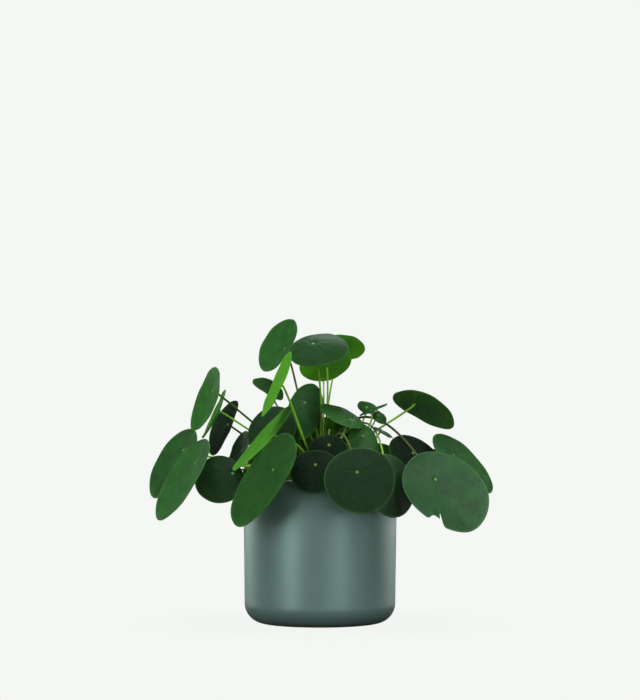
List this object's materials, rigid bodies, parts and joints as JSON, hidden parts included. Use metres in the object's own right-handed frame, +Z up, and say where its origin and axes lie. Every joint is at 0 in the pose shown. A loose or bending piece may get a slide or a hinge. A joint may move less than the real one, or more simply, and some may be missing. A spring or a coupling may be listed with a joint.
{
  "type": "potted pilea plant",
  "caption": "Potted pilea: round flat leaves on long thin stalks from one short stem, in a plain round glazed pot with soil.",
  "frame": {"origin": "middle of the pot's flat foot, on the surface that it stands on", "axes": "+Z up the pot's axis, -Y towards the viewer of the picture, +X to that viewer's right"},
  "size_m": [0.3205, 0.1977, 0.28],
  "materials": {
    "glaze": "satin grey-teal glaze, bare brown clay at the foot",
    "earth": "dark, rough potting soil",
    "bark": "dull brown bark with leaf scars",
    "leaf": "thick leaf with a soft sheen"
  },
  "bodies": {
    "root": {"pot": "glaze", "soil": "earth", "stem": "bark", "leaf_01": "leaf", "leaf_02": "leaf", "leaf_03": "leaf", "leaf_04": "leaf", "leaf_05": "leaf", "leaf_06": "leaf", "leaf_07": "leaf", "leaf_08": "leaf", "leaf_09": "leaf", "leaf_10": "leaf", "leaf_11": "leaf", "leaf_12": "leaf", "leaf_13": "leaf", "leaf_14": "leaf", "leaf_15": "leaf", "leaf_16": "leaf", "leaf_17": "leaf", "leaf_18": "leaf", "leaf_19": "leaf", "leaf_20": "leaf", "leaf_21": "leaf", "leaf_22": "leaf", "leaf_23": "leaf", "leaf_24": "leaf", "leaf_25": "leaf", "leaf_26": "leaf", "leaf_27": "leaf", "leaf_28": "leaf", "leaf_29": "leaf", "leaf_30": "leaf", "leaf_31": "leaf", "leaf_32": "leaf", "leaf_33": "leaf", "leaf_34": "leaf", "leaf_35": "leaf", "leaf_36": "leaf", "leaf_37": "leaf", "leaf_38": "leaf", "leaf_39": "leaf"}
  },
  "joints": []
}
